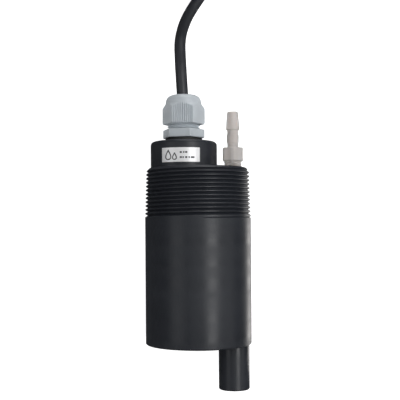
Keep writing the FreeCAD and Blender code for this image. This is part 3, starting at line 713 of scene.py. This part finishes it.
# ---- cable --------------------------------------------------------------------------------------

def racetrack_point(radius, near_angle=None, far_angle=None, side=0, along=0.0):
    """A point on the hank's outline: on its near or far round end, or along one straight side."""
    if near_angle is not None:
        turn = math.radians(near_angle)
        return HANK_X + radius * math.cos(turn), HANK_NEAR_Y + radius * math.sin(turn)
    if far_angle is not None:
        turn = math.radians(far_angle)
        return (HANK_X + radius * math.cos(turn),
                HANK_NEAR_Y + HANK_RUN + radius * math.sin(turn))
    return HANK_X + side * radius, HANK_NEAR_Y + along * HANK_RUN


def winding_order():
    """(turn radius, height) of each turn: rows wound inwards and outwards by turns."""
    radii = [HANK_INNER_TURN + column * CABLE_PITCH for column in reversed(range(HANK_COLUMNS))]
    order = []
    for row in range(HANK_FULL_ROWS):
        height = CABLE_ROUTE[-1][2] + row * CABLE_PITCH
        across = radii if row % 2 == 0 else radii[::-1]
        order += [(radius, height) for radius in across]
    top = CABLE_ROUTE[-1][2] + HANK_FULL_ROWS * CABLE_PITCH
    order += [(radius, top) for radius in radii[:HANK_TOP_TURNS + 1]]
    return order


def hank_points():
    """The turns, wound from the near end's right side and rising row by row."""
    points = []
    order = winding_order()
    side_places = (0.03, 0.14, 0.38, 0.62, 0.86, 0.97)
    for turn, (radius, height) in enumerate(order):
        for angle in (-30, -10) if turn else (-24, -8):
            points.append((*racetrack_point(radius + FOLD_SLACK, near_angle=angle), height))
        if turn == len(order) - 1:
            break
        for along in side_places:
            points.append((*racetrack_point(radius, side=1, along=along), height))
        for angle in range(10, 180, 20):
            points.append((*racetrack_point(radius + FOLD_SLACK, far_angle=angle), height))
        for along in reversed(side_places):
            points.append((*racetrack_point(radius, side=-1, along=along), height))
        next_radius, next_height = order[turn + 1]
        for step in range(7):
            share = step / 7
            mixed = radius + (next_radius - radius) * share + FOLD_SLACK
            rise = height + (next_height - height) * share
            points.append((*racetrack_point(mixed, near_angle=190 + 20 * step), rise))
    for along in (0.03, 0.14, 0.38, 0.5625):
        points.append((*racetrack_point(radius, side=1, along=along), height))
    return points


def curve_data(name, radius, bevel_resolution):
    """Curve data for round strands with closed ends."""
    data = bpy.data.curves.new(name, "CURVE")
    data.dimensions = "3D"
    data.bevel_depth = radius
    data.bevel_resolution = bevel_resolution
    data.use_fill_caps = True
    return data


def add_spline(data, points):
    """A smooth strand from the first point to the last, led by those between them."""
    spline = data.splines.new("NURBS")
    spline.points.add(len(points) - 1)
    for point, place in zip(spline.points, points):
        point.co = (*place, 1.0)
    spline.order_u = 3
    spline.use_endpoint_u = True
    spline.resolution_u = 8
    return spline


def strand_piece(data, replaced):
    """Put finished curve data in the scene, as a piece on the root body."""
    piece = bpy.data.objects.new(data.name, data)
    bpy.context.scene.collection.objects.link(piece)
    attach(piece, "root")
    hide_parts(*replaced)
    return piece


def signal_cable():
    data = curve_data("signal_cable", CABLE_RADIUS, 6)
    add_spline(data, CABLE_ROUTE + hank_points())
    data.materials.append(JACKET)
    return strand_piece(data, ["cable", "cable_hank"])


TIE_WIDTH = 5.0
TIE_THICKNESS = 0.8
# Across a tie: flat edges with a shallow channel between them on the outside
TIE_SECTION = ((-1.0, 0.12), (-0.94, 0.0), (-0.62, 0.0), (-0.56, 0.22), (0.56, 0.22), (0.62, 0.0),
               (0.94, 0.0), (1.0, 0.12))
TIE_HEAD = Vector((5, 6.8, 3.4)) * MM
TIE_TAIL = Vector((3.2, 4.2, 0.8)) * MM
CORE_RADIUS = 0.55 * MM


def rounded_loop(half_width, low, high, corner, steps=8):
    """Points round an upright rectangle with rounded corners, in mm."""
    points = []
    for turn, x, z in ((0, 1, 1), (90, -1, 1), (180, -1, -1), (270, 1, -1)):
        middle_x = x * (half_width - corner)
        middle_z = high - corner if z > 0 else low + corner
        for step in range(steps + 1):
            angle = math.radians(turn + 90 * step / steps)
            points.append((middle_x + corner * math.cos(angle), middle_z + corner * math.sin(angle)))
    return points


def add_block(mesh, low, high, edge):
    """A box with rounded edges between two corners; all in metres."""
    made = bmesh.ops.create_cube(mesh, size=1.0)["verts"]
    for vert in made:
        vert.co = Vector([low[axis] if vert.co[axis] < 0 else high[axis] for axis in range(3)])
    edges = list({link for vert in made for link in vert.link_edges})
    bmesh.ops.bevel(mesh, geom=edges, offset=edge, segments=3, profile=0.5, affect="EDGES")


def hank_tie(name, side):
    """A cable tie round one side of the hank: a grooved strap, its head and its cut tail."""
    half = HANK_COLUMNS * CABLE_PITCH / MM / 2 + 0.2
    top = (HANK_FULL_ROWS + 1) * CABLE_PITCH / MM + 0.4
    outer = rounded_loop(half + TIE_THICKNESS, 0.0, top + TIE_THICKNESS, 3.6)
    inner = rounded_loop(half, TIE_THICKNESS, top, 2.8)
    centre_x = HANK_X + side * HANK_SIDE
    mesh = bmesh.new()
    rows = []
    for share, sunk in TIE_SECTION:
        mix = sunk / TIE_THICKNESS
        row = []
        for (x, z), (inner_x, inner_z) in zip(outer, inner):
            row.append(mesh.verts.new((centre_x + (x + (inner_x - x) * mix) * MM,
                                       HANK_MID_Y + share * TIE_WIDTH / 2 * MM,
                                       (z + (inner_z - z) * mix) * MM)))
        rows.append(row)
    for share in (1.0, -1.0):
        rows.append([mesh.verts.new((centre_x + x * MM, HANK_MID_Y + share * TIE_WIDTH / 2 * MM,
                                     z * MM)) for x, z in inner])
    for low, high in zip(rows, rows[1:] + rows[:1]):
        for index in range(len(outer)):
            following = (index + 1) % len(outer)
            mesh.faces.new((low[index], low[following], high[following], high[index]))
    head_low = Vector((centre_x - 2.5 * MM, HANK_MID_Y - 3.4 * MM, (top + 0.35) * MM))
    add_block(mesh, head_low, head_low + TIE_HEAD, 0.5 * MM)
    tail_low = Vector((centre_x + 2.3 * MM, HANK_MID_Y - 2.1 * MM, (top + 1.3) * MM))
    add_block(mesh, tail_low, tail_low + TIE_TAIL, 0.15 * MM)
    return finish_mesh(name, mesh, TIE, "root", ["hank_ties"], 35)


def lead_cores():
    """Four insulated conductors from the cable's cut end to their ferrules."""
    data = curve_data("lead_cores", CORE_RADIUS, 4)
    end_turn = HANK_INNER_TURN + (HANK_COLUMNS - 1 - HANK_TOP_TURNS) * CABLE_PITCH
    end_x = (HANK_X + end_turn) / MM
    end_z = (CABLE_ROUTE[-1][2] + HANK_FULL_ROWS * CABLE_PITCH) / MM
    rest_z = HANK_FULL_ROWS * CABLE_PITCH / MM + 1.0
    start_y = HANK_MID_Y / MM + 6.0
    for index, wire in enumerate(WIRES.values()):
        data.materials.append(wire)
        spread = (index - 1.5) * 1.35
        turn = math.radians(45 + 90 * index)
        core_x = end_x + 1.1 * math.cos(turn)
        core_z = end_z + 1.1 * math.sin(turn)
        places = [
            (core_x, start_y - 2.0, core_z),
            (core_x, start_y + 1.5, core_z),
            (end_x - 0.6 + spread * 0.9, start_y + 7.0, rest_z + 0.9),
            (end_x - 0.6 + spread * 0.95, start_y + 14.0, rest_z),
            (end_x - 1.4 + spread * 1.4, start_y + 28.0 + index, rest_z),
        ]
        spline = add_spline(data, [tuple(value * MM for value in place) for place in places])
        spline.material_index = index
    return strand_piece(data, ["lead_wires"])


cable = signal_cable()
cord_pieces = [hank_tie("hank_tie_left", -1), hank_tie("hank_tie_right", 1), lead_cores(),
               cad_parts["ferrules"]]


# ---- stage, light and camera ----------------------------------------------------------------------

def backdrop():
    """A white floor and a white dome, which only the camera sees, so they don't grey the shadows."""
    white = Paint("floor_white", (0.85, 0.85, 0.85), 0.9, Emission_Color=(1, 1, 1, 1),
                  Emission_Strength=0.93).material
    bpy.ops.mesh.primitive_plane_add(size=12)
    ground = bpy.context.object
    ground.name = "floor"
    bpy.ops.mesh.primitive_uv_sphere_add(segments=32, ring_count=16, radius=5.5)
    dome = bpy.context.object
    dome.name = "dome"
    dome.visible_diffuse = False
    dome.visible_shadow = False
    for obj in (ground, dome):
        obj.data.materials.append(white)
        obj.visible_glossy = False


def light(name, place, aim, length, width, power, color=(1, 1, 1)):
    """A soft rectangular light that faces its aim."""
    data = bpy.data.lights.new(name, "AREA")
    data.shape = "RECTANGLE"
    data.size = length
    data.size_y = width
    data.energy = power
    data.color = color
    lamp = bpy.data.objects.new(name, data)
    lamp.location = place
    lamp.rotation_euler = (Vector(aim) - lamp.location).to_track_quat("-Z", "Y").to_euler()
    bpy.context.scene.collection.objects.link(lamp)


def light_panel(name, lean, width, power):
    """A long soft panel along the probe, at an angle from straight up towards +X."""
    turn = math.radians(lean)
    place = (PANEL_DISTANCE * math.sin(turn), PANEL_Y, AXIS_Z + PANEL_DISTANCE * math.cos(turn))
    light(name, place, (0, PANEL_Y, AXIS_Z), PANEL_LENGTH, width, power)


def camera():
    data = bpy.data.cameras.new("camera")
    data.sensor_width = SENSOR_WIDTH
    data.lens = SENSOR_WIDTH * CAMERA_DISTANCE / VIEW_WIDTH
    data.shift_y = SHIFT_Y
    data.dof.use_dof = False
    obj = bpy.data.objects.new("camera", data)
    obj.location = (CAMERA_X, CAMERA_Y, AXIS_Z + CAMERA_DISTANCE)
    obj.rotation_euler = (0, 0, -LEAN)
    bpy.context.scene.collection.objects.link(obj)
    bpy.context.scene.camera = obj


backdrop()
light_panel("strip", lean=29.5, width=0.25, power=3.1)
light_panel("top_panel", lean=-5, width=0.35, power=0.56)
light_panel("left_panel", lean=-44, width=0.40, power=0.95)
light_panel("right_panel", lean=65, width=0.40, power=0.7)
light("floor_strip", (0.062, -0.02, 0.001), (0.0621, -0.02, 0.2), length=0.12, width=0.03,
      power=0.03, color=(1.0, 0.97, 0.94))
light("end_panel", (0.12, 0.75, 0.10), (0, 0.05, AXIS_Z), length=0.5, width=0.12, power=1.4)
camera()
world = bpy.data.worlds.new("world")
world.use_nodes = True
background = world.node_tree.nodes["Background"]
background.inputs["Color"].default_value = (1, 1, 1, 1)
background.inputs["Strength"].default_value = 0.03
bpy.context.scene.world = world
bpy.context.scene.view_settings.view_transform = "Standard"
